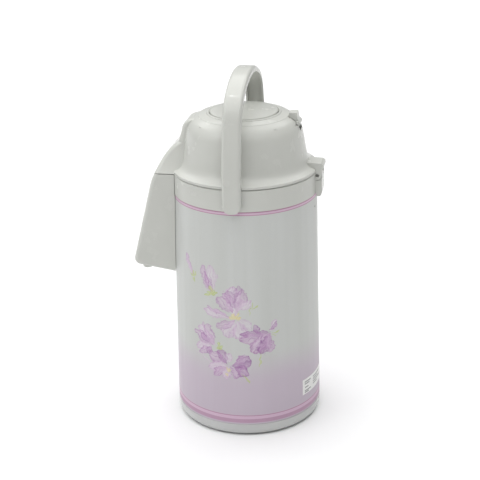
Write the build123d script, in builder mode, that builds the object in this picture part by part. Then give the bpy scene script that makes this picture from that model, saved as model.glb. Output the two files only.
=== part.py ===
"""Pump pot with a glass lining: body, swinging lid with pump, front spout cover and carry handle.

Frame: origin at the centre of the foot, +Z up, the spout points along -Y, the lid hinge is at +Y and the
handle turns about the X direction. Millimetres throughout.
"""

from build123d import *
import math
import os

os.makedirs("parts", exist_ok=True)

# body
foot_r = 80.0
base_top = 14.2
case_low = 14.5
case_top = 257.6
case_top_r = 76.5
case_wall = 0.8
collar_low = 257.9
collar_top = 280.8
collar_r = 77.2
# lid
lid_low = 281.7
lid_r = 77.4
wall = 2.3
cap_top = 346.2
cap_r = 171.0
hinge_y = 78.2
hinge_z = 277.6
lug_half = 10.5
knuckle_r = 5.0
# push button
button_r = 35.8
button_drop = 20.0
ring_in = 36.2
ring_out = 39.2
lock_y = 57.0
lock_z = 332.0
nozzle_y = -112.0
nozzle_low = 161.0
# handle
pivot_z = 268.0
strap_half = 9.8
strap_t = 6.2
strap_wall = 2.4
strap_top = 388.0
strap_r1 = 110.0
strap_r2 = 42.0
strap_r3 = 260.0
strap_a2 = 72.0
strap_x = 85.0


def section(*points):
    """Closed half section in the XZ plane, as (radius, height) pairs."""
    with BuildSketch(Plane.XZ) as s:
        with BuildLine():
            Polyline(*points, close=True)
        make_face()
    return s.sketch


def side(*points):
    """Closed outline in the YZ plane, as (y, z) pairs."""
    with BuildSketch(Plane.YZ) as s:
        with BuildLine():
            Polyline(*points, close=True)
        make_face()
    return s.sketch


def front(*points):
    """Closed outline in the XZ plane, mirrored about x = 0, given as (x, z) pairs from the bottom up."""
    mirrored = [(-x, z) for x, z in reversed(points)]
    with BuildSketch(Plane.XZ) as s:
        with BuildLine():
            Polyline(*points, *mirrored, close=True)
        make_face()
    return s.sketch


def case_r(z):
    """Outer radius of the printed case at height z."""
    return foot_r - (foot_r - case_top_r) * (z - case_low) / (case_top - case_low)


def cap_z(r):
    """Height of the lid's top surface at radius r."""
    return cap_top - r * r / (2 * cap_r)


# ---------------------------------------------------------------- base
with BuildPart() as base_ring:
    with BuildSketch(Plane.XZ):
        with BuildLine():
            l1 = Line((60.0, 0.0), (72.2, 0.0))
            l2 = EllipticalCenterArc((72.2, 7.2), 7.8, 7.2, start_angle=270, arc_size=90)
            l3 = Line((foot_r, 7.2), (foot_r, base_top - 0.6))
            l4 = Polyline(
                (foot_r, base_top - 0.6),
                (foot_r - 0.6, base_top),
                (case_r(15) - 1.1, base_top),
                (case_r(26) - 1.1, 26.0),
                (75.6, 26.0),
                (75.6, 8.0),
                (50.0, 8.0),
                (50.0, 12.0),
                (47.2, 12.0),
                (47.2, 4.5),
                (60.0, 4.5),
                (60.0, 0.0),
            )
        make_face()
    revolve(axis=Axis.Z)
base_ring.part.label = "base_ring"
export_step(base_ring.part, "parts/base_ring.step")

with BuildPart() as bottom_cover:
    revolve(
        section(
            (0, 3.2), (30, 3.2), (32, 1.6), (47.0, 1.6), (47.0, 4.2), (46.8, 4.2),
            (46.8, 13.5), (44.4, 13.5), (44.4, 5.6), (0, 5.6),
        ),
        axis=Axis.Z,
    )
    with Locations((0, 0, 3.2)):
        Box(56, 5, 1.5, align=(Align.CENTER, Align.CENTER, Align.MAX))
bottom_cover.part.label = "bottom_cover"
export_step(bottom_cover.part, "parts/bottom_cover.step")

with BuildPart() as flask_cushion:
    revolve(
        section((8, 5.9), (34, 5.9), (40, 12), (40, 20.0), (36, 19.0), (27, 18.3), (8, 18.3)),
        axis=Axis.Z,
    )
flask_cushion.part.label = "flask_cushion"
export_step(flask_cushion.part, "parts/flask_cushion.step")

# ---------------------------------------------------------------- glass lining, double walled
with BuildPart() as flask:
    with BuildSketch(Plane.XZ):
        with BuildLine():
            Line((0, 18.6), (27, 18.6))
            Spline((27, 18.6), (52, 28), (66, 52), tangents=[(1, 0), (0, 1)])
            Line((66, 52), (66, 205))
            Spline((66, 205), (52, 232), (30, 244), (28.4, 250), tangents=[(0, 1), (0, 1)])
            Polyline((28.4, 250), (28.4, 260.5), (27.2, 261.8), (24.6, 261.8), (24.0, 260.5), (24.0, 247))
            Spline((24.0, 247), (33, 236), (52, 222), (59.6, 203), tangents=[(0, -1), (0, -1)])
            Line((59.6, 203), (59.6, 56))
            Spline((59.6, 56), (48, 34), (24, 27), (0, 26.6), tangents=[(0, -1), (-1, 0)])
            Line((0, 26.6), (0, 18.6))
        make_face()
    revolve(axis=Axis.Z)
    with BuildSketch(Plane.XZ):
        with BuildLine():
            Line((0, 20.2), (27, 20.2))
            Spline((27, 20.2), (50.8, 29), (64.4, 52.4), tangents=[(1, 0), (0, 1)])
            Line((64.4, 52.4), (64.4, 204.8))
            Spline((64.4, 204.8), (50.9, 230.6), (29, 242.4), (26.8, 249), tangents=[(0, 1), (0, 1)])
            Polyline((26.8, 249), (26.8, 257.4), (25.6, 257.4), (25.6, 248))
            Spline((25.6, 248), (34, 237.5), (53.4, 223), (61.2, 203.4), tangents=[(0, -1), (0, -1)])
            Line((61.2, 203.4), (61.2, 55.6))
            Spline((61.2, 55.6), (49, 32.6), (24, 25.4), (0, 25.0), tangents=[(0, -1), (-1, 0)])
            Line((0, 25.0), (0, 20.2))
        make_face()
    revolve(axis=Axis.Z, mode=Mode.SUBTRACT)
flask.part.label = "flask"
export_step(flask.part, "parts/flask.step")

# ---------------------------------------------------------------- printed case and label
with BuildPart() as outer_case:
    revolve(
        section(
            (foot_r, case_low),
            (case_top_r, case_top),
            (case_top_r - case_wall, case_top),
            (foot_r - case_wall, case_low),
        ),
        axis=Axis.Z,
    )
    with Locations(Location((0, 0, 244), (0, 0, 81))):
        with Locations(Location((76.5, 0, 0), (0, 90, 0))):
            Cylinder(1.3, 8, mode=Mode.SUBTRACT)
outer_case.part.label = "outer_case"
export_step(outer_case.part, "parts/outer_case.step")

with BuildPart() as rear_label:
    with Locations(Location((0, 0, 0), (0, 0, 57))):
        add(
            revolve(
                section(
                    (case_r(34.5) + 0.04, 34.5),
                    (case_r(34.5) + 0.2, 34.5),
                    (case_r(52.5) + 0.2, 52.5),
                    (case_r(52.5) + 0.04, 52.5),
                ),
                axis=Axis.Z,
                revolution_arc=34,
                mode=Mode.PRIVATE,
            )
        )
rear_label.part.label = "rear_label"
export_step(rear_label.part, "parts/rear_label.step")

# ---------------------------------------------------------------- collar
with BuildPart() as collar:
    revolve(
        section(
            (case_top_r - 1.2, collar_low),
            (collar_r - 0.3, collar_low),
            (collar_r, collar_low + 0.4),
            (collar_r, collar_top - 0.8),
            (collar_r - 0.8, collar_top),
            (75.0, collar_top),
            (75.0, collar_top + 2.4),
            (73.4, collar_top + 2.4),
            (73.4, 266.2),
            (35.0, 266.2),
            (35.0, 271.6),
            (33.4, 271.6),
            (26.4, 267.6),
            (25.6, 265.4),
            (31.2, 265.4),
            (31.2, 250.0),
            (33.4, 250.0),
            (33.4, 263.6),
            (72.4, 263.6),
            (72.4, 240.0),
            (case_top_r - 1.2, 240.0),
        ),
        axis=Axis.Z,
    )
    # bracket under the lid hinge
    extrude(
        side(
            (74.0, 276.4), (74.0, 258.4), (77.4, 258.4), (77.4, 255.2), (80.6, 254.8), (82.4, 256.4),
            (83.2, 259.6), (83.2, hinge_z), (hinge_y, hinge_z), (hinge_y, 276.4),
        ),
        amount=lug_half,
        both=True,
    )
    with Locations(Location((0, hinge_y, hinge_z), (0, 90, 0))):
        Cylinder(knuckle_r - 0.3, 2 * 5.6)
    # seats for the lid's two hinge lugs, and room for the lid's edge to turn
    for s in (-1, 1):
        with Locations(Location((s * 8.6, hinge_y, hinge_z), (0, 90, 0))):
            Cylinder(knuckle_r + 0.4, 5.4, mode=Mode.SUBTRACT)
        with Locations((s * 8.6, hinge_y + 8, hinge_z + 3.3)):
            Box(5.4, 16, 6.6, mode=Mode.SUBTRACT)
        with Locations((s * 8.6, hinge_y - 3, hinge_z + 5)):
            Box(5.4, 6.8, 10, mode=Mode.SUBTRACT)
    with Locations((0, 76.0, collar_top + 1.6), (0, -76.0, collar_top + 1.6)):
        Box(60, 12, 3.2, mode=Mode.SUBTRACT)
    with Locations(Location((0, hinge_y, hinge_z), (0, 90, 0))):
        Cylinder(knuckle_r - 0.3, 2 * 5.6)
        Cylinder(1.9, 30, mode=Mode.SUBTRACT)
    # bosses and holes for the handle pins
    for s in (-1, 1):
        with Locations(Location((s * 75.8, 0, pivot_z), (0, 90, 0))):
            Cylinder(8.0, 4.0)
        with Locations(Location((s * 75.0, 0, pivot_z), (0, 90, 0))):
            Cylinder(3.0, 16, mode=Mode.SUBTRACT)
        with Locations(Location((s * 71.5, 0, pivot_z), (0, 90, 0))):
            Cylinder(5.4, 3.0, mode=Mode.SUBTRACT)
collar.part.label = "collar"
export_step(collar.part, "parts/collar.step")

with BuildPart() as neck_gasket:
    revolve(
        section((25.8, 262.1), (28.7, 262.1), (28.7, 252.0), (30.9, 252.0), (30.9, 265.1), (25.8, 265.1)),
        axis=Axis.Z,
    )
neck_gasket.part.label = "neck_gasket"
export_step(neck_gasket.part, "parts/neck_gasket.step")

with BuildPart() as hinge_pin:
    with Locations(Location((0, hinge_y, hinge_z), (0, 90, 0))):
        Cylinder(1.9, 14.6)
hinge_pin.part.label = "hinge_pin"
export_step(hinge_pin.part, "parts/hinge_pin.step")

with BuildPart() as handle_pins:
    for s in (-1, 1):
        with Locations(Location((s * 76.6, 0, pivot_z), (0, 90, 0))):
            Cylinder(3.0, 12.0)
        with Locations(Location((s * 71.4, 0, pivot_z), (0, 90, 0))):
            Cylinder(5.0, 1.8)
handle_pins.part.label = "handle_pins"
export_step(handle_pins.part, "parts/handle_pins.step")

# ---------------------------------------------------------------- stopper with the rising pipe
with BuildPart() as neck_stopper:
    revolve(
        section((0, 269.6), (21.0, 269.6), (21.0, 258.0), (23.0, 258.0), (23.0, 270.0), (24.6, 272.0), (34.6, 272.0), (34.6, 274.2), (0, 274.2)),
        axis=Axis.Z,
    )
    with Locations((0, -10, 272)):
        Cylinder(3.5, 20, mode=Mode.SUBTRACT)
    with PolarLocations(14, 5, start_angle=30, angular_range=240):
        Cylinder(2.2, 600, mode=Mode.SUBTRACT)
neck_stopper.part.label = "neck_stopper"
export_step(neck_stopper.part, "parts/neck_stopper.step")

with BuildPart() as rising_pipe:
    with Locations((0, -10, 34.0)):
        Cylinder(3.5, 244.6, align=(Align.CENTER, Align.CENTER, Align.MIN))
        Cylinder(2.5, 244.6, align=(Align.CENTER, Align.CENTER, Align.MIN), mode=Mode.SUBTRACT)
rising_pipe.part.label = "rising_pipe"
export_step(rising_pipe.part, "parts/rising_pipe.step")

# ---------------------------------------------------------------- lid shell: bell, front ridge, upper nose, hinge lugs
bell = [
    (lid_r, lid_low + 2.6),
    (72.4, 286.6),
    (69.2, 289.2),
    (66.7, 294.0),
    (65.4, 299.4),
    (64.4, 305.0),
    (63.5, 311.0),
    (62.5, 317.0),
    (61.2, 323.4),
    (59.6, 328.0),
    (57.0, 332.2),
    (52.8, 336.3),
    (47.6, 339.2),
    (42.0, cap_z(42.0)),
]
# upper nose and front ridge: height, front face and half width from below the split up to the top
nose_low = [
    (lid_low - 5, -93.8, 38.6),
    (lid_low, -91.2, 34.5),
    (293.4, -84.9, 27.4),
    (302.8, -78.2, 23.1),
    (308.0, -72.8, 21.2),
    (312.0, -67.4, 20.0),
]
nose_high = [
    (312.0, -67.4, 20.0),
    (318.6, -65.6, 18.8),
    (324.4, -64.1, 17.9),
    (330.0, -62.3, 17.1),
    (333.6, -59.2, 16.8),
    (336.4, -52.6, 16.6),
    (338.8, -45.0, 16.4),
]


def nose_solid(t, radius, low):
    """The nose inset by t, with rounded front corners, cut off at height low."""
    with BuildPart() as n:
        for rows in (nose_low, nose_high):
            for z, y, w in rows:
                a = w - t
                b = y + t
                k = radius * 0.2929
                with BuildSketch(Plane.XY.offset(z - (t if rows is nose_high and z > 315 else 0))):
                    with BuildLine():
                        Line((-a, -30), (-a, b + radius))
                        ThreePointArc((-a, b + radius), (-a + k, b + k), (-a + radius, b))
                        Line((-a + radius, b), (a - radius, b))
                        ThreePointArc((a - radius, b), (a - k, b + k), (a, b + radius))
                        Line((a, b + radius), (a, -30))
                        Line((a, -30), (-a, -30))
                    make_face()
            loft()
        with Locations((0, -60, low)):
            Box(200, 200, 20, align=(Align.CENTER, Align.CENTER, Align.MAX), mode=Mode.SUBTRACT)
    return n.part


with BuildPart() as lid_shell:
    with BuildSketch(Plane.XZ):
        with BuildLine():
            Line((0, lid_low), (lid_r, lid_low))
            Line((lid_r, lid_low), bell[0])
            Spline(*bell, tangents=[(-0.85, 0.5), (-0.97, 0.26)])
            ThreePointArc(bell[-1], (24, cap_z(24)), (0, cap_top))
            Line((0, cap_top), (0, lid_low))
        make_face()
    revolve(axis=Axis.Z)
    add(nose_solid(0, 5.0, lid_low))
    # hollow inside of the bell
    revolve(
        section(
            (0, lid_low - 1),
            (75.3, lid_low - 1),
            (75.3, lid_low + 1.6),
            (70.2, 286.0),
            (67.2, 288.2),
            (64.5, 293.6),
            (63.1, 299.2),
            (62.1, 304.8),
            (61.2, 310.8),
            (60.2, 316.6),
            (58.9, 322.6),
            (57.5, 326.8),
            (55.0, 331.0),
            (51.2, 334.9),
            (46.2, 337.4),
            (30.0, 341.0),
            (0, 343.4),
        ),
        axis=Axis.Z,
        mode=Mode.SUBTRACT,
    )
    # hollow inside of the nose
    add(nose_solid(2.2, 3.0, lid_low - 3), mode=Mode.SUBTRACT)
    # well for the button and its ring
    with Locations((0, 0, 345)):
        Cylinder(ring_out + 0.1, 30, mode=Mode.SUBTRACT)
    # room for the collar's knuckle, then the hinge lugs and the thumb flange over them
    with Locations(Location((0, hinge_y, hinge_z), (0, 90, 0))):
        Cylinder(knuckle_r + 0.5, 12.2, mode=Mode.SUBTRACT)
    for s in (-1, 1):
        with Locations(Location((s * 8.4, hinge_y, hinge_z), (0, 90, 0))):
            Cylinder(knuckle_r, 4.2)
        web = side(
            (75.4, 283.0), (hinge_y - 4.4, 280.0), (hinge_y, hinge_z), (hinge_y + knuckle_r, hinge_z),
            (hinge_y + knuckle_r, 286.0), (75.4, 286.0),
        )
        extrude(Pos(s * 8.4, 0, 0) * web, amount=2.1, both=True)
    extrude(side((79.6, 283.4), (83.2, 283.4), (83.2, 286.0), (79.6, 286.0)), amount=7.0, both=True)
    extrude(
        side((66.4, 288.6), (73.4, 284.8), (83.4, 284.2), (84.8, 286.2), (84.7, 288.8), (82.2, 290.8), (65.4, 291.6)),
        amount=lug_half,
        both=True,
    )
    with Locations(Location((0, hinge_y, hinge_z), (0, 90, 0))):
        Cylinder(1.96, 30, mode=Mode.SUBTRACT)
    # posts for the plate's screws
    with PolarLocations(52, 4, start_angle=45):
        with Locations((0, 0, 284.5)):
            Cylinder(3.4, 50.5, align=(Align.CENTER, Align.CENTER, Align.MIN))
            Cylinder(1.5, 8.0, align=(Align.CENTER, Align.CENTER, Align.MIN), mode=Mode.SUBTRACT)
    # slot and ears for the lock lever
    with Locations((0, 54, 336)):
        Box(13.4, 12.8, 30, mode=Mode.SUBTRACT)
    for s in (-1, 1):
        with Locations(Location((s * 7.9, lock_y, lock_z), (0, 90, 0))):
            Cylinder(3.0, 2.2)
    with Locations(Location((0, lock_y, lock_z), (0, 90, 0))):
        Cylinder(1.5, 30, mode=Mode.SUBTRACT)
lid_shell.part.label = "lid_shell"
export_step(lid_shell.part, "parts/lid_shell.step")

with BuildPart() as lid_plate:
    revolve(
        section(
            (33.6, 283.0), (71.0, 283.0), (71.0, 279.6), (72.6, 279.6), (72.6, 284.4), (33.6, 284.4),
        ),
        axis=Axis.Z,
    )
    with Locations((0, 74, 281.6)):
        Box(160, 60, 4.2, mode=Mode.SUBTRACT)
    with Locations((0, -75, 284)):
        Box(60, 20, 30, mode=Mode.SUBTRACT)
    with PolarLocations(52, 4, start_angle=45):
        Cylinder(1.6, 700, mode=Mode.SUBTRACT)
lid_plate.part.label = "lid_plate"
export_step(lid_plate.part, "parts/lid_plate.step")

with BuildPart() as lid_screws:
    with PolarLocations(52, 4, start_angle=45):
        with Locations((0, 0, 281.2)):
            Cylinder(3.0, 1.7, align=(Align.CENTER, Align.CENTER, Align.MIN))
            Cylinder(1.5, 9.0, align=(Align.CENTER, Align.CENTER, Align.MIN))
            Box(4.0, 0.9, 1.0, align=(Align.CENTER, Align.CENTER, Align.MIN), mode=Mode.SUBTRACT)
            Box(0.9, 4.0, 1.0, align=(Align.CENTER, Align.CENTER, Align.MIN), mode=Mode.SUBTRACT)
lid_screws.part.label = "lid_screws"
export_step(lid_screws.part, "parts/lid_screws.step")

# ---------------------------------------------------------------- pump
with BuildPart() as pump_base:
    revolve(
        section(
            (0, 277.0), (33.3, 277.0), (33.3, 295.6), (4.0, 295.6), (4.0, 293.6), (30.9, 293.6),
            (30.9, 279.4), (0, 279.4),
        ),
        axis=Axis.Z,
    )
    with Locations((0, -10, 278)):
        Cylinder(6.5, 6, mode=Mode.SUBTRACT)
    with Locations((0, -30, 288.9)):
        Box(9.6, 30, 9.4, mode=Mode.SUBTRACT)
    with Locations((0, 12, 278)):
        Cylinder(3.0, 6, mode=Mode.SUBTRACT)
pump_base.part.label = "pump_base"
export_step(pump_base.part, "parts/pump_base.step")

with BuildPart() as lid_gasket:
    revolve(
        section((26.0, 274.5), (28.0, 274.5), (29.0, 275.8), (32.0, 274.5), (33.3, 274.5), (33.3, 277.0), (26.0, 277.0)),
        axis=Axis.Z,
    )
lid_gasket.part.label = "lid_gasket"
export_step(lid_gasket.part, "parts/lid_gasket.step")

bellows_low = 295.6
bellows_high = 325.6
folds = 6
pitch = (bellows_high - bellows_low - 2.4) / folds
outer_line = [(29.0, bellows_low), (29.0, bellows_low + 1.2)]
inner_line = [(27.6, bellows_low + 1.2)]
for i in range(folds):
    z = bellows_low + 1.2 + i * pitch
    outer_line.append((24.0, z + 0.25 * pitch))
    outer_line.append((30.0, z + 0.75 * pitch))
    inner_line.append((23.0, z + 0.25 * pitch))
    inner_line.append((29.0, z + 0.75 * pitch))
with BuildPart() as bellows:
    revolve(
        section(
            (8.0, bellows_low),
            *outer_line,
            (27.6, bellows_high),
            (8.0, bellows_high),
            (8.0, bellows_high - 1.2),
            (26.6, bellows_high - 1.2),
            *reversed(inner_line),
            (8.0, bellows_low + 1.2),
        ),
        axis=Axis.Z,
    )
bellows.part.label = "bellows"
export_step(bellows.part, "parts/bellows.step")

spring_low = 297.4
spring_high = 324.0
with BuildPart() as return_spring:
    with BuildLine():
        coil = Helix(pitch=4.4, height=spring_high - spring_low - 1.6, radius=17.0, center=(0, 0, spring_low + 0.8))
    with BuildSketch(Plane(origin=coil @ 0, z_dir=coil % 0)):
        Circle(0.7)
    sweep(path=coil)
return_spring.part.label = "return_spring"
export_step(return_spring.part, "parts/return_spring.step")

# ---------------------------------------------------------------- push button and its ring
with BuildPart() as button_ring:
    revolve(
        section(
            (ring_in, 324.5), (ring_out, 324.5), (ring_out, 337.4), (43.0, 336.2), (43.0, 337.3),
            (ring_out, 338.6), (ring_out, 342.0), (38.2, 342.7), (37.2, 342.7), (ring_in, 341.6),
        ),
        axis=Axis.Z,
    )
    with Locations((0, 44, 336)):
        Box(13.4, 9.6, 12, mode=Mode.SUBTRACT)
button_ring.part.label = "button_ring"
export_step(button_ring.part, "parts/button_ring.step")

with BuildPart() as button:
    with BuildSketch(Plane.XZ):
        with BuildLine():
            ThreePointArc((0, 346.9), (20, 345.9), (34.6, 343.6))
            ThreePointArc((34.6, 343.6), (35.5, 343.1), (button_r, 342.2))
            Polyline(
                (button_r, 342.2),
                (button_r, 324.2),
                (38.8, 324.2),
                (38.8, 322.2),
                (33.8, 322.2),
                (33.8, 340.6),
                (0, 343.6),
                (0, 346.9),
            )
        make_face()
    revolve(axis=Axis.Z)
button.part.label = "button"
export_step(button.part, "parts/button.step")

with BuildPart() as push_plate:
    revolve(
        section(
            (3.0, 325.8), (27.0, 325.8), (27.0, 328.0), (11.0, 328.0), (11.0, 342.3), (8.6, 342.3),
            (8.6, 328.0), (3.0, 328.0),
        ),
        axis=Axis.Z,
    )
push_plate.part.label = "push_plate"
export_step(push_plate.part, "parts/push_plate.step")

# ---------------------------------------------------------------- lock lever
with BuildPart() as lock_lever:
    extrude(
        side(
            (48.2, 338.6), (53.4, 336.0), (55.0, 334.0), (lock_y, lock_z), (58.8, 334.0), (57.4, 337.0),
            (56.6, 342.6), (56.0, 343.2), (48.9, 343.2), (48.2, 342.5),
        ),
        amount=6.3,
        both=True,
    )
    with Locations(Location((0, lock_y, lock_z), (0, 90, 0))):
        Cylinder(2.9, 12.6)
    extrude(
        side((55.4, 333.0), (42.6, 315.6), (42.6, 313.2), (45.6, 313.2), (58.6, 330.6)),
        amount=4.0,
        both=True,
    )
    with Locations(Location((0, lock_y, lock_z), (0, 90, 0))):
        Cylinder(1.55, 30, mode=Mode.SUBTRACT)
lock_lever.part.label = "lock_lever"
export_step(lock_lever.part, "parts/lock_lever.step")

with BuildPart() as lock_pin:
    with Locations(Location((0, lock_y, lock_z), (0, 90, 0))):
        Cylinder(1.5, 14.4)
lock_pin.part.label = "lock_pin"
export_step(lock_pin.part, "parts/lock_pin.step")

# ---------------------------------------------------------------- spout cover, water channel and nozzle
cover_high = 280.9
with BuildPart() as spout_cover:
    with BuildSketch(Plane.YZ):
        with BuildLine():
            Line((-40, cover_high), (-91.6, cover_high))
            Spline((-91.6, cover_high), (-95.6, 271.8), (-99.2, 259.8), tangents=[(-4.2, -9.1), (-2.721, -10)])
            Line((-99.2, 259.8), (-122.9, 172.7))
            Polyline((-122.9, 172.7), (-60, 162.2), (-40, 162.2), (-40, cover_high))
        make_face()
    cover_length = extrude(amount=60, both=True, mode=Mode.PRIVATE)
    cover_width = extrude(front((21.0, 150.0), (34.5, cover_high)), amount=140, mode=Mode.PRIVATE)
    add(cover_length & cover_width)
    fillet(spout_cover.edges().filter_by(lambda e: e.center().Z < 176 and e.center().Y < -112), 7.0)
    cover_edges = spout_cover.edges().filter_by(
        lambda e: abs(e.center().X) > 15 and e.center().Y < -80 and e.center().Z < 280
    )
    fillet(cover_edges, 5.0)
    cover_top = spout_cover.faces().sort_by(Axis.Z)[-1]
    cover_back = spout_cover.faces().sort_by(Axis.Y)[-1]
    offset(amount=-2.2, openings=[cover_top, cover_back])
    # the back follows the case and the collar
    revolve(
        section(
            (0, 150), (case_r(150) + 0.4, 150), (case_r(257) + 0.4, 257), (77.6, 257.4), (77.6, 290), (0, 290)
        ),
        axis=Axis.Z,
        mode=Mode.SUBTRACT,
    )
    with Locations((0, nozzle_y, 172)):
        Cylinder(5.3, 20, mode=Mode.SUBTRACT)
spout_cover.part.label = "spout_cover"
export_step(spout_cover.part, "parts/spout_cover.step")

with BuildPart() as nozzle:
    with Locations((0, nozzle_y, nozzle_low)):
        Cylinder(5.2, 183 - nozzle_low, align=(Align.CENTER, Align.CENTER, Align.MIN))
    fillet(nozzle.edges().sort_by(Axis.Z)[0], 0.8)
    with Locations((0, nozzle_y, nozzle_low)):
        Cylinder(4.0, 183 - nozzle_low, align=(Align.CENTER, Align.CENTER, Align.MIN), mode=Mode.SUBTRACT)
nozzle.part.label = "nozzle"
export_step(nozzle.part, "parts/nozzle.step")

with BuildPart() as water_channel:
    with BuildLine(Plane.YZ):
        path = FilletPolyline(
            (-10, 274.8), (-10, 288.9), (-44.6, 288.9), (-44.6, 321), (-55.2, 321), (-60.5, 297), (-81.5, 284),
            (nozzle_y, 187), (nozzle_y, 183.2), radius=5.0,
        )
    with BuildSketch(Plane(origin=path @ 0, z_dir=path % 0)):
        Circle(4.4)
    sweep(path=path)
    with BuildSketch(Plane(origin=path @ 0, z_dir=path % 0)):
        Circle(3.8)
    sweep(path=path, mode=Mode.SUBTRACT)
water_channel.part.label = "water_channel"
export_step(water_channel.part, "parts/water_channel.step")

# ---------------------------------------------------------------- carry handle
a2 = math.radians(strap_a2)
knee_x = strap_x - strap_r3 + (strap_r3 - strap_r2) * math.sin(a2)
a1 = math.asin(knee_x / (strap_r1 - strap_r2))
knee_z = strap_top - strap_r1 + (strap_r1 - strap_r2) * math.cos(a1)
leg_cx = strap_x - strap_r3
leg_cz = knee_z - (strap_r3 - strap_r2) * math.cos(a2)


def strap_line(t):
    """Half of the strap's curve at depth t below its outer face, from the top down, as arcs and a line."""
    r1, r2, r3 = strap_r1 - t, strap_r2 - t, strap_r3 - t
    top = (0, strap_top - t)
    mid_a = (r1 * math.sin(a1 / 2), strap_top - strap_r1 + r1 * math.cos(a1 / 2))
    end_a = (r1 * math.sin(a1), strap_top - strap_r1 + r1 * math.cos(a1))
    m = (a1 + a2) / 2
    mid_b = (knee_x + r2 * math.sin(m), knee_z + r2 * math.cos(m))
    end_b = (knee_x + r2 * math.sin(a2), knee_z + r2 * math.cos(a2))
    m = (a2 + math.pi / 2) / 2
    mid_c = (leg_cx + r3 * math.sin(m), leg_cz + r3 * math.cos(m))
    end_c = (leg_cx + r3, leg_cz)
    return top, mid_a, end_a, mid_b, end_b, mid_c, end_c


def strap_face(t_out, t_in, low):
    """Strap section between two depths, both legs, down to height low."""
    with BuildSketch(Plane.XZ) as s:
        with BuildLine():
            for t in (t_out, t_in):
                top, mid_a, end_a, mid_b, end_b, mid_c, end_c = strap_line(t)
                for k in (-1, 1):
                    ThreePointArc((k * top[0], top[1]), (k * mid_a[0], mid_a[1]), (k * end_a[0], end_a[1]))
                    ThreePointArc((k * end_a[0], end_a[1]), (k * mid_b[0], mid_b[1]), (k * end_b[0], end_b[1]))
                    ThreePointArc((k * end_b[0], end_b[1]), (k * mid_c[0], mid_c[1]), (k * end_c[0], end_c[1]))
                    Line((k * end_c[0], end_c[1]), (k * (strap_x - t), low))
            for k in (-1, 1):
                Line((k * (strap_x - t_out), low), (k * (strap_x - t_in), low))
        make_face()
    return s.sketch


with BuildPart() as handle:
    extrude(strap_face(0, strap_t, 258.0), amount=strap_half, both=True)
    # rounded lower ends
    with BuildSketch(Plane.YZ) as lower_end:
        with BuildLine():
            l1 = ThreePointArc((-strap_half, 264.6), (0, 258.0), (strap_half, 264.6))
            l2 = Polyline((strap_half, 264.6), (strap_half, 250), (-strap_half, 250), (-strap_half, 264.6))
        make_face()
    extrude(amount=100, both=True, mode=Mode.SUBTRACT)
    fillet(
        handle.edges().filter_by(lambda e: abs(abs(e.center().Y) - strap_half) < 0.1 and e.length > 30).group_by(
            SortBy.LENGTH
        )[-1],
        3.8,
    )
    # recess on the inside of the strap, closed above the pivots
    recess = extrude(strap_face(strap_wall, strap_t + 1, 260.0), amount=strap_half - 2.0, both=True, mode=Mode.PRIVATE)
    above = Pos(0, 0, 382) * Box(300, 60, 200, mode=Mode.PRIVATE)
    add(recess & above, mode=Mode.SUBTRACT)
    for s in (-1, 1):
        with Locations(Location((s * 78.5, 0, pivot_z), (0, 90, 0))):
            Cylinder(3.06, 9.0, mode=Mode.SUBTRACT)
handle.part.label = "handle"
export_step(handle.part, "parts/handle.step")
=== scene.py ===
"""Looks for the pump pot: materials, printed spray, floor, lights and camera."""

import math

import bpy
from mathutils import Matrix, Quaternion, Vector


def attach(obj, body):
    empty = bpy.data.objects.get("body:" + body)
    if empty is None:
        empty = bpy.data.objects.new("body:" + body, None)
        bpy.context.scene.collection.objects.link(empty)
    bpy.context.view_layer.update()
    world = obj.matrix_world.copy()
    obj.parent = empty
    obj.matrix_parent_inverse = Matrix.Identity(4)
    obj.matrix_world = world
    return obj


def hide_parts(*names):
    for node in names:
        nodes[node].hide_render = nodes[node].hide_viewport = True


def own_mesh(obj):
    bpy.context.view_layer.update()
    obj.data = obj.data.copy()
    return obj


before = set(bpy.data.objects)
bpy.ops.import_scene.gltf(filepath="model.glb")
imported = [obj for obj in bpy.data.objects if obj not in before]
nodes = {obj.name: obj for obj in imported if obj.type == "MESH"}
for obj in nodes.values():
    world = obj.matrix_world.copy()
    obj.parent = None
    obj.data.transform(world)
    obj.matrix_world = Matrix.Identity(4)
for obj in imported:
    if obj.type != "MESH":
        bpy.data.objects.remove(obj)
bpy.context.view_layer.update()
collection = bpy.context.scene.collection

MM = 1000.0  # the patterns are laid out in millimetres

# ------------------------------------------------------------------ node helpers


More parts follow.
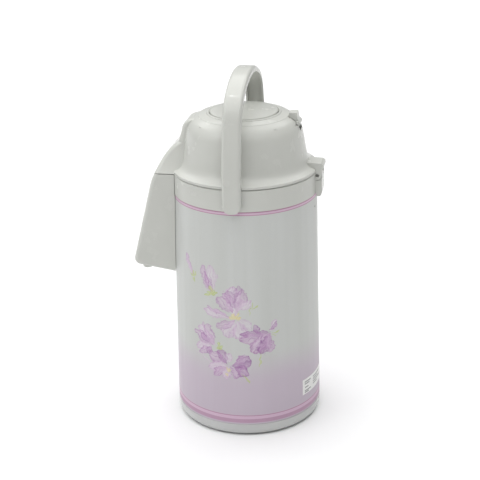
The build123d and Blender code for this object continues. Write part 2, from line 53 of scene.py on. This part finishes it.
class Tree:
    """Short names for adding nodes to one material or group."""

    def __init__(self, tree):
        self.tree = tree
        self.nodes = tree.nodes
        self.links = tree.links

    def add(self, kind, **props):
        node = self.nodes.new(kind)
        for key, value in props.items():
            setattr(node, key, value)
        return node

    def put(self, socket, value):
        if isinstance(value, bpy.types.NodeSocket):
            self.links.new(value, socket)
        else:
            socket.default_value = value

    def math(self, op, a, b=0.0, c=0.0, clamp=False):
        node = self.add("ShaderNodeMath", operation=op, use_clamp=clamp)
        for socket, value in zip(node.inputs, (a, b, c)):
            self.put(socket, value)
        return node.outputs[0]

    def step(self, value, low, high, a=0.0, b=1.0):
        node = self.add("ShaderNodeMapRange", interpolation_type="SMOOTHSTEP")
        for socket, item in zip(node.inputs, (value, low, high, a, b)):
            self.put(socket, item)
        return node.outputs[0]

    def mix(self, factor, a, b, mode="MIX"):
        node = self.add("ShaderNodeMix", data_type="RGBA", blend_type=mode)
        self.put(node.inputs["Factor"], factor)
        self.put(node.inputs[6], a)
        self.put(node.inputs[7], b)
        return node.outputs[2]

    def combine(self, x, y, z=0.0):
        node = self.add("ShaderNodeCombineXYZ")
        for socket, value in zip(node.inputs, (x, y, z)):
            self.put(socket, value)
        return node.outputs[0]

    def split(self, vector):
        node = self.add("ShaderNodeSeparateXYZ")
        self.put(node.inputs[0], vector)
        return node.outputs

    def noise(self, vector, scale, detail=2.0, roughness=0.5):
        node = self.add("ShaderNodeTexNoise")
        self.put(node.inputs["Vector"], vector)
        node.inputs["Scale"].default_value = scale
        node.inputs["Detail"].default_value = detail
        node.inputs["Roughness"].default_value = roughness
        return node.outputs[0]

    def where(self):
        return self.add("ShaderNodeTexCoord").outputs["Object"]


def rgb(r, g, b):
    """Colour from screen values 0 to 255."""

    def linear(v):
        v /= 255
        return v / 12.92 if v <= 0.04045 else ((v + 0.055) / 1.055) ** 2.4

    return (linear(r), linear(g), linear(b), 1.0)


def material(name):
    mat = bpy.data.materials.new(name)
    mat.use_nodes = True
    t = Tree(mat.node_tree)
    shader = mat.node_tree.nodes["Principled BSDF"]
    return mat, t, shader


def bump(t, shader, height, strength, distance=0.001):
    node = t.add("ShaderNodeBump")
    node.inputs["Strength"].default_value = strength
    node.inputs["Distance"].default_value = distance
    t.put(node.inputs["Height"], height)
    t.put(shader.inputs["Normal"], node.outputs[0])


# ------------------------------------------------------------------ plain materials


def moulded(name, colour, second, rough, coat=0.0, peel=0.05):
    """Moulded plastic: a faint cloudy tint, orange peel and slightly uneven polish."""
    mat, t, shader = material(name)
    where = t.where()
    cloud = t.noise(where, 22.0, 3.0)
    fine = t.noise(where, 900.0, 2.0)
    t.put(shader.inputs["Base Color"], t.mix(t.step(cloud, 0.35, 0.68), colour, second))
    polish = t.step(t.noise(where, 60.0, 3.0), 0.3, 0.72, rough, rough + 0.015)
    t.put(shader.inputs["Roughness"], polish)
    shader.inputs["Specular IOR Level"].default_value = 0.2
    shader.inputs["Coat Weight"].default_value = coat
    shader.inputs["Coat Roughness"].default_value = 0.03
    height = t.math("MULTIPLY_ADD", fine, 0.25, t.noise(where, 160.0, 2.0))
    bump(t, shader, height, peel, 0.0006)
    return mat


plastic = moulded("plastic", rgb(198, 199, 193), rgb(196, 197, 191), 0.26, 0.22, 0.03)
plastic_base = moulded("plastic_base", rgb(200, 201, 199), rgb(196, 197, 196), 0.14, 0.35)
plastic_inner = moulded("plastic_inner", rgb(226, 226, 220), rgb(219, 220, 214), 0.38)
rubber = moulded("rubber", rgb(176, 176, 172), rgb(160, 160, 157), 0.7, peel=0.12)
bellows = moulded("bellows", rgb(222, 222, 214), rgb(206, 206, 199), 0.5, peel=0.1)


def metal(name, colour, rough):
    """Drawn metal: fine lines along Y in the tint and in the polish."""
    mat, t, shader = material(name)
    x, y, z = t.split(t.where())
    stretched = t.combine(t.math("MULTIPLY", x, 40.0), y, t.math("MULTIPLY", z, 40.0))
    lines = t.noise(stretched, 60.0, 3.0)
    t.put(shader.inputs["Base Color"], t.mix(lines, colour, rgb(235, 235, 232)))
    t.put(shader.inputs["Roughness"], t.step(lines, 0.2, 0.8, rough, rough + 0.15))
    shader.inputs["Metallic"].default_value = 1.0
    return mat


steel = metal("steel", rgb(205, 206, 206), 0.22)
dark_steel = metal("dark_steel", rgb(44, 44, 46), 0.5)

glass, t, shader = material("glass")
where = t.where()
silvering = t.step(t.noise(where, 14.0, 4.0), 0.3, 0.7)
t.put(shader.inputs["Base Color"], t.mix(silvering, rgb(214, 218, 220), rgb(190, 196, 200)))
t.put(shader.inputs["Roughness"], t.step(t.noise(where, 40.0), 0.3, 0.7, 0.05, 0.12))
shader.inputs["Metallic"].default_value = 0.9
shader.inputs["Coat Weight"].default_value = 1.0

label, t, shader = material("label")
where = t.where()
x, y, z = t.split(where)
turn = t.math("MULTIPLY", t.math("ARCTAN2", y, x), 180 / math.pi)
paper = t.mix(t.noise(where, 300.0, 3.0), rgb(236, 236, 233), rgb(228, 228, 226))
BAR_HALF = 0.75
bars = 0.0
# plain bars: height of the middle in mm, first and last angle round the case in degrees
for middle, start, stop in (
    (49.0, 59.5, 68.0),
    (46.6, 59.5, 66.0),
    (42.4, 60.0, 64.5),
    (38.4, 59.5, 68.0),
    (36.4, 59.5, 65.0),
    (48.6, 72.0, 86.0),
    (45.8, 72.0, 82.0),
    (43.0, 72.0, 87.0),
    (40.2, 72.0, 80.0),
):
    rise = t.math("COMPARE", t.math("MULTIPLY", z, MM), middle, BAR_HALF)
    span = t.math("COMPARE", turn, (start + stop) / 2, (stop - start) / 2)
    bars = t.math("MAXIMUM", bars, t.math("MULTIPLY", rise, span))
t.put(shader.inputs["Base Color"], t.mix(t.math("MULTIPLY", bars, 0.7), paper, rgb(96, 98, 100)))
shader.inputs["Roughness"].default_value = 0.45

# ------------------------------------------------------------------ printed spray


def petal_group():
    """One painted petal laid over the colour that comes in."""
    group = bpy.data.node_groups.new("petal", "ShaderNodeTree")
    face = group.interface
    for name, kind in (
        ("Under", "NodeSocketColor"),
        ("Point", "NodeSocketVector"),
        ("Ruffle", "NodeSocketFloat"),
        ("Base", "NodeSocketVector"),
        ("Turn", "NodeSocketFloat"),
        ("Length", "NodeSocketFloat"),
        ("Width", "NodeSocketFloat"),
        ("Bend", "NodeSocketFloat"),
        ("Inner", "NodeSocketColor"),
        ("Edge", "NodeSocketColor"),
        ("Cover", "NodeSocketFloat"),
    ):
        face.new_socket(name, in_out="INPUT", socket_type=kind)
    face.new_socket("Colour", in_out="OUTPUT", socket_type="NodeSocketColor")
    t = Tree(group)
    i = t.add("NodeGroupInput").outputs
    # the trace of the under colour makes each layer wait for the one below it
    layer = t.add("ShaderNodeVectorMath", operation="MULTIPLY_ADD")
    t.put(layer.inputs[0], i["Under"])
    layer.inputs[1].default_value = (1e-6, 1e-6, 0.0)
    t.put(layer.inputs[2], i["Point"])
    offset = t.add("ShaderNodeVectorMath", operation="SUBTRACT")
    t.put(offset.inputs[0], layer.outputs[0])
    t.put(offset.inputs[1], i["Base"])
    spin = t.add("ShaderNodeVectorRotate", rotation_type="Z_AXIS")
    t.put(spin.inputs["Vector"], offset.outputs[0])
    t.put(spin.inputs["Angle"], t.math("MULTIPLY", i["Turn"], -1.0))
    x, y, _ = t.split(spin.outputs[0])
    along = t.math("DIVIDE", x, i["Length"])
    inside = t.math("MULTIPLY", along, 1.0, clamp=True)
    bow = t.math("MULTIPLY", t.math("MULTIPLY", inside, inside), i["Bend"])
    y = t.math("SUBTRACT", y, bow)
    arch = t.math("SINE", t.math("MULTIPLY", t.math("POWER", inside, 1.45), math.pi))
    arch = t.math("POWER", t.math("MAXIMUM", arch, 0.0), 0.62)
    half = t.math("MULTIPLY", arch, i["Width"])
    half = t.math("MULTIPLY", half, t.math("ADD", i["Ruffle"], 1.0))
    depth = t.math("SUBTRACT", half, t.math("ABSOLUTE", y))
    mask = t.step(depth, 0.0, t.math("MULTIPLY_ADD", i["Width"], 0.06, 0.25))
    rim = t.step(depth, 0.0, t.math("MULTIPLY", i["Width"], 0.75), 1.0, 0.0)
    across = t.math("DIVIDE", y, i["Width"])
    grain = t.combine(t.math("MULTIPLY", along, 1.3), t.math("MULTIPLY", across, 3.4), i["Turn"])
    vein = t.step(t.noise(grain, 1.6, 3.0, 0.6), 0.36, 0.66)
    fold = t.step(t.math("ABSOLUTE", across), 0.0, 0.16, 0.45, 0.0)
    heart = t.step(inside, 0.0, 0.45, 0.4, 0.0)
    shade = t.math("MULTIPLY_ADD", rim, 0.55, t.math("MULTIPLY", vein, 0.5))
    shade = t.math("ADD", shade, t.math("MULTIPLY", fold, 0.6))
    shade = t.math("SUBTRACT", shade, heart, clamp=True)
    colour = t.mix(shade, i["Inner"], i["Edge"])
    depth_of_tone = t.math("MULTIPLY_ADD", shade, 0.45, 0.55)
    wash = t.math("MULTIPLY", mask, t.math("MULTIPLY", i["Cover"], depth_of_tone))
    out = t.add("NodeGroupOutput")
    t.put(out.inputs[0], t.mix(wash, i["Under"], colour))
    return group


PALE = (rgb(226, 216, 225), rgb(186, 152, 186))
MID = (rgb(214, 190, 212), rgb(164, 120, 167))
DARK = (rgb(192, 154, 192), rgb(142, 95, 150))
LEAF = (rgb(206, 212, 132), rgb(150, 176, 84))
GOLD = (rgb(232, 222, 158), rgb(206, 190, 110))

# place round the wall and height, turn in degrees, length, half width and bend (mm), tones, cover
petals = []


def petal(u, v, turn, length, width, bend, tones, cover=0.9):
    petals.append((u, v, turn, length, width, bend, tones, cover))


def sprig(u, v, turns, length, width, tones=LEAF):
    """A small star of leaves round one point."""
    for k, turn in enumerate(turns):
        petal(u, v, turn, length * (1.0 - 0.12 * (k % 3)), width, 0.6, tones, 0.85)


def small_bud(u, v, turn):
    petal(u, v, turn + 9, 22, 3.6, -2.5, PALE)
    petal(u, v, turn - 5, 24, 2.6, 2.0, MID, 0.8)
    sprig(u + 1, v - 1, (turn - 20, turn + 35, turn - 75, turn + 150), 7.0, 1.5)


def tall_bud(u, v, turn):
    petal(u, v, turn - 12, 33, 7.4, 1.5, PALE, 0.7)
    petal(u - 1, v + 2, turn + 14, 31, 4.6, -3.0, MID, 0.85)
    petal(u + 1, v, turn + 3, 27, 3.4, 2.5, DARK, 0.5)
    sprig(u, v, (turn, turn + 42, turn - 40, turn + 85, turn - 80), 8.5, 1.7)


# top blossom, its long side petal and its lower petals
petal(-4, 141, 176, 33, 4.8, -3.0, PALE)
petal(-6, 142, 168, 28, 2.6, -2.0, MID, 0.85)
petal(-1, 139, 244, 24, 8.0, 2.0, PALE, 0.8)
petal(1, 138, 212, 25, 6.0, -3.0, MID, 0.75)
petal(2, 137, 282, 22, 8.6, -1.5, PALE, 0.8)
petal(4, 139, 318, 17, 4.8, 1.5, PALE, 0.6)
petal(1, 141, 99, 37, 9.5, -2.0, PALE)
petal(-2, 146, 128, 24, 7.2, 3.0, MID, 0.8)
petal(2, 145, 74, 29, 7.4, 1.5, MID, 0.75)
petal(0, 150, 104, 22, 5.4, 2.0, DARK, 0.55)
petal(3, 147, 52, 20, 5.6, -2.0, PALE)
petal(-1, 158, 150, 15, 4.2, -1.5, MID, 0.8)
petal(0, 163, 66, 15, 4.0, 1.0, DARK, 0.5)
sprig(1, 138, (60, 105, 20, 150), 9.0, 1.7, GOLD)
petal(14, 141, 78, 13, 0.7, 1.0, LEAF)
petal(16, 152, 18, 9, 0.8, 0.5, LEAF)
petal(16, 152, 62, 8, 0.7, -0.5, LEAF)

# right blossom, the darkest
petal(37, 124, 48, 15, 4.0, 2.0, PALE)
petal(36, 125, 30, 13, 2.2, 2.0, DARK, 0.8)
petal(38, 122, 176, 33, 4.6, 3.5, DARK)
petal(37, 121, 196, 33, 6.4, -2.0, MID)
petal(38, 121, 222, 30, 8.6, 1.0, MID)
petal(37, 120, 246, 25, 7.6, -1.0, DARK, 0.85)
petal(36, 121, 268, 22, 5.6, 1.5, MID, 0.85)
petal(26, 122, 118, 10, 3.6, 1.0, DARK, 0.8)
petal(27, 117, 236, 16, 4.2, 1.0, PALE, 0.7)
petal(38, 121, 4, 9, 0.8, 0.8, LEAF)
petal(38, 120, 332, 7, 0.7, 0.5, LEAF)
petal(27, 101, 263, 18, 1.0, 0.8, LEAF)

# left blossom
petal(-23, 106, 136, 28, 6.6, 2.0, PALE)
petal(-24, 107, 118, 24, 5.6, -2.0, MID, 0.8)
petal(-24, 106, 160, 27, 6.4, -1.5, MID, 0.85)
petal(-25, 104, 186, 23, 6.2, 2.0, PALE)
petal(-25, 103, 212, 22, 5.0, -1.5, MID, 0.9)
petal(-28, 107, 146, 17, 3.4, 1.0, DARK, 0.75)
petal(-26, 104, 232, 13, 3.6, 1.0, DARK, 0.7)
petal(-36, 118, 96, 11, 2.6, 1.0, MID, 0.7)
sprig(-20, 104, (26, 66, 350), 8.0, 1.5)

# bottom blossom with its deep right lobe
petal(-9, 86, 152, 24, 7.4, 1.5, MID)
petal(-9, 85, 122, 20, 6.4, -1.5, DARK, 0.8)
petal(-9, 83, 184, 23, 6.8, 2.0, PALE)
petal(-9, 82, 216, 20, 5.0, -1.5, MID, 0.9)
petal(-8, 83, 250, 15, 4.6, 1.5, PALE)
petal(-8, 87, 84, 13, 4.2, 1.0, PALE, 0.8)
petal(-6, 84, 300, 17, 5.6, 1.5, MID, 0.85)
petal(-4, 84, 14, 21, 8.6, 2.0, DARK)
petal(-3, 83, 338, 18, 6.6, -1.5, DARK, 0.9)
petal(-2, 86, 34, 17, 4.6, 1.0, MID, 0.6)
petal(6, 76, 306, 14, 1.0, -1.0, LEAF)
sprig(-9, 76, (100, 60, 250), 6.0, 1.0, GOLD)

small_bud(-50, 181, 121)
tall_bud(-26, 164, 101)

# thin curl below the left blossom
petal(-60, 103, 322, 42, 0.55, 5.0, PALE, 0.8)
petal(-56, 96, 330, 34, 0.4, 4.0, MID, 0.6)

# ------------------------------------------------------------------ printed case

WALL_R = 78.5  # radius of the print, in mm
BLUSH_LOW, BLUSH_HIGH = 66.0, 114.0
printed_steel, t, shader = material("printed_steel")
where = t.where()
x, y, z = t.split(where)
height = t.math("MULTIPLY", z, MM)
# the angle takes no notice of the side, so the print is mirrored on the far side
angle = t.math("ARCTAN2", y, t.math("ABSOLUTE", x))
place = t.combine(t.math("MULTIPLY", angle, WALL_R), height)
# vertical streaks: real waviness of the wall in the bump and polish, and painted reflection of the
# room in the colour
upright_space = t.combine(t.math("MULTIPLY", angle, 3.6), t.math("MULTIPLY", z, 2.0))
wave_and_sheen = t.noise(upright_space, 1.0, 2.0, 0.5)
# painted reflection: the streaks darken the pearl colour a little in vertical bands
pearl_and_sheen = t.mix(t.step(wave_and_sheen, 0.3, 0.7), rgb(195, 197, 194), rgb(191, 193, 189))
pearl_and_sheen = t.mix(t.math("MULTIPLY", t.noise(where, 1500.0, 1.0), 0.1), pearl_and_sheen, rgb(255, 255, 255))
rise = t.math("ADD", height, t.math("MULTIPLY", t.noise(place, 0.02, 1.0), 16.0))
blush = t.step(rise, BLUSH_LOW, BLUSH_HIGH, 1.0, 0.0)
colour = t.mix(t.math("MULTIPLY", blush, 0.9), pearl_and_sheen, rgb(193, 180, 193))
ruffle = t.noise(place, 0.42, 2.0, 0.6)
ruffle = t.math("MULTIPLY", t.math("SUBTRACT", ruffle, 0.5), 1.25)
# the petals wander a little, so that none looks stamped
drift = t.add("ShaderNodeTexNoise")
drift.inputs["Scale"].default_value = 0.11
drift.inputs["Detail"].default_value = 2.0
t.put(drift.inputs["Vector"], place)
sway = t.add("ShaderNodeVectorMath", operation="MULTIPLY_ADD")
t.put(sway.inputs[0], drift.outputs["Color"])
sway.inputs[1].default_value = (9.0, 9.0, 0.0)
sway.inputs[2].default_value = (-4.5, -4.5, 0.0)
swayed = t.add("ShaderNodeVectorMath", operation="ADD")
t.put(swayed.inputs[0], place)
t.put(swayed.inputs[1], sway.outputs[0])
group = petal_group()
for u, v, turn, length, width, bend, tones, cover in petals:
    node = t.add("ShaderNodeGroup", node_tree=group)
    t.put(node.inputs["Under"], colour)
    t.put(node.inputs["Point"], swayed.outputs[0])
    t.put(node.inputs["Ruffle"], ruffle)
    node.inputs["Base"].default_value = (u, v, 0.0)
    node.inputs["Turn"].default_value = math.radians(turn)
    node.inputs["Length"].default_value = length
    node.inputs["Width"].default_value = width
    node.inputs["Bend"].default_value = bend
    node.inputs["Inner"].default_value = tones[0]
    node.inputs["Edge"].default_value = tones[1]
    node.inputs["Cover"].default_value = cover
    colour = node.outputs[0]

# bands at the foot and the top: middle and half height in mm, tint
PINK_PALE = rgb(208, 180, 200)
PINK_LINE = rgb(178, 128, 156)
PINK_BAND = rgb(183, 148, 171)
for centre, half, tint in (
    (22.4, 2.0, PINK_PALE),
    (18.4, 2.2, PINK_BAND),
    (24.7, 0.45, PINK_LINE),
    (255.7, 1.3, PINK_PALE),
    (257.2, 0.55, PINK_LINE),
    (254.3, 0.4, PINK_LINE),
):
    away = t.math("ABSOLUTE", t.math("SUBTRACT", height, centre))
    colour = t.mix(t.step(away, half - 0.2, half + 0.2, 0.92, 0.0), colour, tint)
t.put(shader.inputs["Base Color"], colour)
t.put(shader.inputs["Roughness"], t.step(wave_and_sheen, 0.3, 0.7, 0.34, 0.42))
shader.inputs["Specular IOR Level"].default_value = 0.14
shader.inputs["Coat Weight"].default_value = 0.06
shader.inputs["Coat Roughness"].default_value = 0.12
shader.inputs["Metallic"].default_value = 0.1
wave = t.math("MULTIPLY_ADD", t.noise(where, 1200.0, 1.0), 0.03, wave_and_sheen)
bump(t, shader, wave, 0.5, 0.003)

finish_of = {
    "outer_case": printed_steel,
    "rear_label": label,
    "base_ring": plastic_base,
    "bottom_cover": plastic_inner,
    "flask_cushion": rubber,
    "flask": glass,
    "collar": plastic,
    "neck_gasket": rubber,
    "hinge_pin": dark_steel,
    "handle_pins": steel,
    "neck_stopper": plastic_inner,
    "rising_pipe": plastic_inner,
    "lid_shell": plastic,
    "lid_plate": plastic_inner,
    "lid_screws": steel,
    "pump_base": plastic_inner,
    "lid_gasket": rubber,
    "bellows": bellows,
    "return_spring": steel,
    "button_ring": plastic,
    "button": plastic,
    "push_plate": plastic_inner,
    "lock_lever": plastic,
    "lock_pin": steel,
    "spout_cover": plastic,
    "nozzle": plastic,
    "water_channel": plastic_inner,
    "handle": plastic,
}
for name, mat in finish_of.items():
    mesh = nodes[name].data
    mesh.materials.clear()
    mesh.materials.append(mat)

# the bellows and its spring are copied into objects of their own, carried by the lid, and the
# originals are hidden
for name, finish in (("bellows", "bellows"), ("return_spring", "steel")):
    soft = bpy.data.objects.new(name + "_soft", nodes[name].data.copy())
    collection.objects.link(soft)
    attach(soft, "lid")
    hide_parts(name)
    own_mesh(soft)

# ------------------------------------------------------------------ floor, light, camera

floor_mat, t, shader = material("floor")
mottle = t.noise(t.where(), 6.0, 2.0)
t.put(shader.inputs["Base Color"], t.mix(mottle, rgb(242, 242, 242), rgb(239, 239, 239)))
shader.inputs["Roughness"].default_value = 0.9
shader.inputs["Specular IOR Level"].default_value = 0.1
floor_mesh = bpy.data.meshes.new("floor")
REACH = 14.0
FLOOR_Z = -0.0002
corners = [(x * REACH, y * REACH, FLOOR_Z) for x, y in ((-1, -1), (1, -1), (1, 1), (-1, 1))]
floor_mesh.from_pydata(corners, [], [(0, 1, 2, 3)])
floor = bpy.data.objects.new("floor", floor_mesh)
floor_mesh.materials.append(floor_mat)
collection.objects.link(floor)

world = bpy.data.worlds.new("studio")
bpy.context.scene.world = world
world.use_nodes = True
back = world.node_tree.nodes["Background"]
back.inputs["Color"].default_value = (0.97, 0.98, 1.0, 1.0)
# the room is darker behind the hinge side, above the level of the table; its backdrop shows as white
t = Tree(world.node_tree)
_, y, z = t.split(t.add("ShaderNodeTexCoord").outputs["Generated"])
shade = t.math("MULTIPLY", t.step(y, 0.0, 0.6), t.step(z, 0.1, 0.3))
room = t.math("MULTIPLY_ADD", shade, -0.3, 0.34)
seen = t.add("ShaderNodeLightPath").outputs["Is Camera Ray"]
t.put(back.inputs["Strength"], t.math("MULTIPLY_ADD", seen, 1.2, room))


def softbox(name, place, aim, width, height, power):
    light = bpy.data.lights.new(name, "AREA")
    light.shape = "RECTANGLE"
    light.size = width
    light.size_y = height
    light.energy = power
    item = bpy.data.objects.new(name, light)
    item.location = place
    item.rotation_mode = "QUATERNION"
    item.rotation_quaternion = (Vector(aim) - Vector(place)).to_track_quat("-Z", "Y")
    collection.objects.link(item)


softbox("ceiling", (-1.0, -1.0, 5.0), (-1.0, -1.0, 0), 10.0, 10.0, 600)
softbox("key", (1.2, -1.7, 1.5), (0, 0, 0.2), 0.8, 1.2, 3)
softbox("tube_front", (1.19, 0.33, 1.41), (0, 0, 0.33), 0.1, 0.02, 1.1)
softbox("tube_side", (0.34, 0.80, 2.15), (0, 0, 0.33), 0.03, 0.16, 1.4)
softbox("tube_top", (-0.17, -0.33, 2.13), (0, 0, 0.37), 0.04, 0.04, 0.5)

bpy.context.scene.view_settings.view_transform = "Standard"

EYE = (1.1812, 0.2117, 0.6760)
PITCH = math.radians(21.74)
SIDE = math.radians(10.5)
ROLL = -0.02246
eye = bpy.data.cameras.new("camera")
eye.sensor_width = 36.0
eye.lens = 89.06
camera = bpy.data.objects.new("camera", eye)
camera.location = EYE
level = math.cos(PITCH)
ahead = Vector((-math.cos(SIDE) * level, -math.sin(SIDE) * level, -math.sin(PITCH)))
camera.rotation_mode = "QUATERNION"
camera.rotation_quaternion = ahead.to_track_quat("-Z", "Y") @ Quaternion((0, 0, 1), ROLL)
collection.objects.link(camera)
bpy.context.scene.camera = camera
